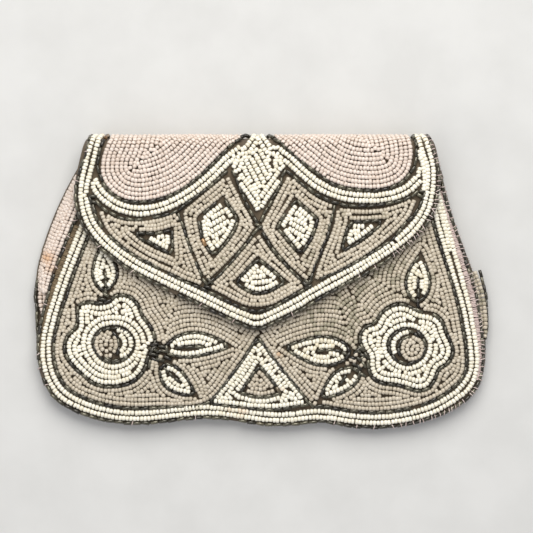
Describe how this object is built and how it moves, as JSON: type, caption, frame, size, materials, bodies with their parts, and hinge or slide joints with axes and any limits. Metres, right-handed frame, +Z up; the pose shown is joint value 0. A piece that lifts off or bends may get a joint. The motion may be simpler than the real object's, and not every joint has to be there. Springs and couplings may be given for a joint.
{
  "type": "beaded envelope clutch purse",
  "caption": "Small flat envelope clutch covered in sewn beads, with a pointed fold-over flap and side gussets, lying on its back.",
  "frame": {"origin": "middle of the bounding box's underside, where the purse rests on its back", "axes": "+Z up out of the front, +Y towards the fold at the top, +X along the fold to the right"},
  "size_m": [0.1906, 0.1244, 0.0168],
  "materials": {
    "cloth": "tan woven cloth with bead thread",
    "ivory_beads": "opaque ivory glass seed beads",
    "grey_beads": "cloudy pale grey glass seed beads over tan thread",
    "rose_beads": "cloudy pale rose glass seed beads over tan thread",
    "bugles": "dark lustred glass bugle beads",
    "steel": "plain snap"
  },
  "bodies": {
    "root": {"wrap_panel": "cloth", "front_panel": "cloth", "gusset_left": "cloth", "gusset_right": "cloth", "gusset_left_beads": "rose_beads", "gusset_right_beads": "rose_beads", "flap_edge_bugles": "bugles", "flap_border_beads": "ivory_beads", "flap_swag_beads": "ivory_beads", "flap_scallop_left": "rose_beads", "flap_scallop_right": "rose_beads", "flap_cell_left_side": "grey_beads", "flap_cell_left": "grey_beads", "flap_cell_right": "grey_beads", "flap_cell_right_side": "grey_beads", "flap_cell_bottom": "grey_beads", "flap_kite_left": "ivory_beads", "flap_kite_right": "ivory_beads", "flap_fan": "ivory_beads", "flap_triangle_left": "ivory_beads", "flap_triangle_right": "ivory_beads", "front_edge_bugles": "bugles", "front_border_beads": "ivory_beads", "front_ground": "grey_beads", "flower_left_petals": "ivory_beads", "flower_left_disc": "grey_beads", "flower_left_crescent": "ivory_beads", "flower_right_petals": "ivory_beads", "flower_right_disc": "grey_beads", "flower_right_crescent": "ivory_beads", "leaf_left_top": "ivory_beads", "leaf_left_side": "ivory_beads", "leaf_left_low": "ivory_beads", "leaf_right_top": "ivory_beads", "leaf_right_side": "ivory_beads", "leaf_right_low": "ivory_beads", "front_triangle": "ivory_beads", "front_triangle_core": "grey_beads", "snap_fastener": "steel", "back_edge_bugles": "bugles", "back_border_beads": "ivory_beads", "back_ground": "grey_beads"}
  },
  "joints": []
}
